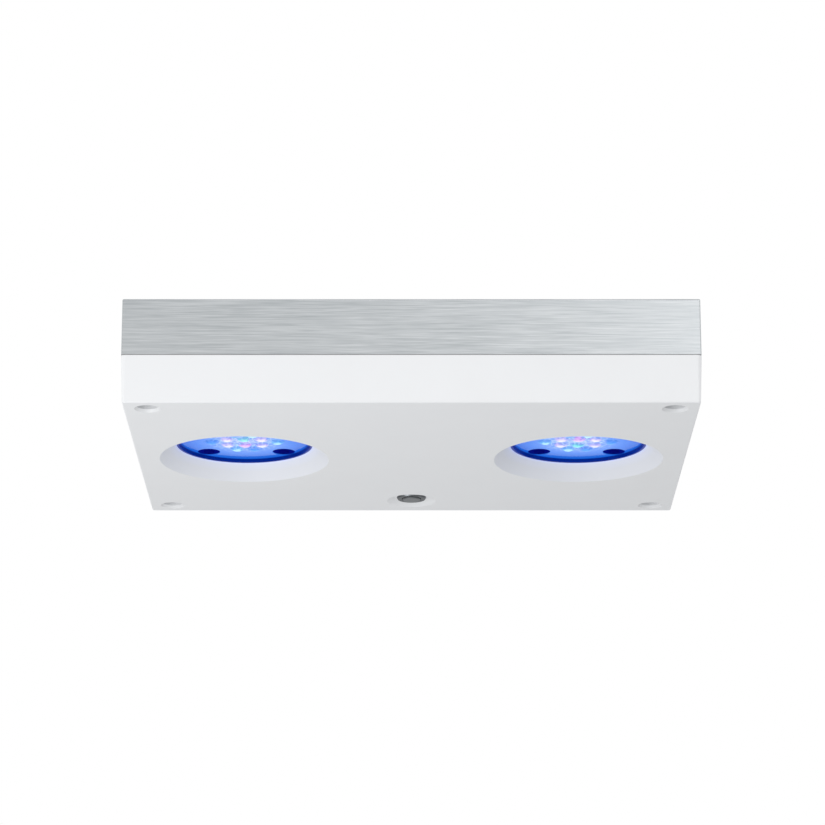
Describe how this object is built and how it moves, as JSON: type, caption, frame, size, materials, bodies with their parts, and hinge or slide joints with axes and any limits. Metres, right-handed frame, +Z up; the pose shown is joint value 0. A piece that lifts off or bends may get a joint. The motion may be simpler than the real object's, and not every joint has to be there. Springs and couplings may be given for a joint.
{
  "type": "led aquarium light",
  "caption": "Flat aquarium light: brushed casing over a white cover, with LED modules in flared round recesses, a push button and cooling fans.",
  "frame": {"origin": "centre of the flat underside, the face that the light leaves from", "axes": "+X along the length, +Y towards the rear edge that holds the push button and the power inlet, +Z up out of the top of the casing"},
  "size_m": [0.3, 0.22, 0.056],
  "materials": {
    "brushed_casing": "fine straight brushing along the length, clear anodised",
    "white_cover": "smooth white, satin gloss",
    "seal_rubber": "matt",
    "steel_screws": "plain zinc",
    "steel_nuts": "plain zinc",
    "post_aluminium": "as drawn",
    "clear_optic": "polished clear moulding",
    "led_board": "solder mask over aluminium, lit blue",
    "thermal_pad": "soft, matt",
    "led_white": "lit",
    "led_cyan": "lit",
    "led_royal_blue": "lit",
    "led_red": "lit",
    "led_green": "lit",
    "black_washer": "matt",
    "black_screw": "black oxide",
    "connector_white": "moulded",
    "sink_aluminium": "extruded, clear anodised",
    "fan_black": "fine moulded grain",
    "fan_blade": "smooth moulding",
    "magnet": "sintered ferrite",
    "motor_copper": "enamelled winding",
    "bearing_bronze": "sintered",
    "circuit_board": "solder mask",
    "standoff_brass": "turned",
    "inductor_grey": "pressed ferrite",
    "capacitor_can": "drawn can",
    "chip_black": "moulded",
    "button_grey": "satin dark grey",
    "bezel_grey": "satin dark grey",
    "spring_steel": "drawn wire",
    "switch_black": "moulded",
    "contact_brass": "plated",
    "inlet_black": "moulded",
    "lead_black": "soft sheath"
  },
  "bodies": {
    "fixture": {"upper_casing": "brushed_casing", "lower_cover": "white_cover", "seam_gasket": "seal_rubber", "casing_posts": "post_aluminium", "corner_screws": "steel_screws", "hanger_nuts": "steel_nuts", "optic_left": "clear_optic", "optic_right": "clear_optic", "optic_gasket_left": "seal_rubber", "optic_gasket_right": "seal_rubber", "led_board_left": "led_board", "led_board_right": "led_board", "thermal_pad_left": "thermal_pad", "thermal_pad_right": "thermal_pad", "heat_sink_left": "sink_aluminium", "heat_sink_right": "sink_aluminium", "leds_white": "led_white", "leds_cyan": "led_cyan", "leds_royal_blue": "led_royal_blue", "leds_red": "led_red", "leds_green": "led_green", "optic_washers": "black_washer", "optic_screws": "black_screw", "sink_screws": "steel_screws", "board_connectors": "connector_white", "fan_frame_left": "fan_black", "fan_frame_right": "fan_black", "fan_stator_left": "motor_copper", "fan_stator_right": "motor_copper", "fan_bearing_left": "bearing_bronze", "fan_bearing_right": "bearing_bronze", "fan_screws": "steel_screws", "driver_standoffs": "standoff_brass", "driver_board": "circuit_board", "driver_screws": "steel_screws", "driver_inductors": "inductor_grey", "driver_capacitors": "capacitor_can", "driver_chips": "chip_black", "driver_headers": "connector_white", "button_bezel": "bezel_grey", "button_spring": "spring_steel", "switch_block": "switch_black", "switch_terminals": "contact_brass", "switch_nut": "steel_nuts", "switch_seal": "seal_rubber", "inlet_housing": "inlet_black", "inlet_pin": "contact_brass", "inlet_screws": "steel_screws", "led_leads": "lead_black", "fan_leads": "lead_black", "button_lead": "lead_black", "inlet_lead": "lead_black"},
    "button": {"button_cap": "button_grey"},
    "fan_rotor_left": {"fan_rotor_left": "fan_blade", "fan_magnet_left": "magnet", "fan_shaft_left": "steel_screws"},
    "fan_rotor_right": {"fan_rotor_right": "fan_blade", "fan_magnet_right": "magnet", "fan_shaft_right": "steel_screws"}
  },
  "joints": [
    {"name": "button_press", "type": "slide", "parent": "fixture", "child": "button", "axis": [0, 0, 1], "range_m": [0, 0.0012], "stiffness_N_per_m": 400, "springref_m": -0.0015, "deforming": ["button_spring"]},
    {"name": "fan_spin_left", "type": "hinge", "parent": "fixture", "child": "fan_rotor_left", "pos_m": [-0.091, 0, 0.045], "axis": [0, 0, 1], "continuous": true},
    {"name": "fan_spin_right", "type": "hinge", "parent": "fixture", "child": "fan_rotor_right", "pos_m": [0.091, 0, 0.045], "axis": [0, 0, 1], "continuous": true}
  ]
}
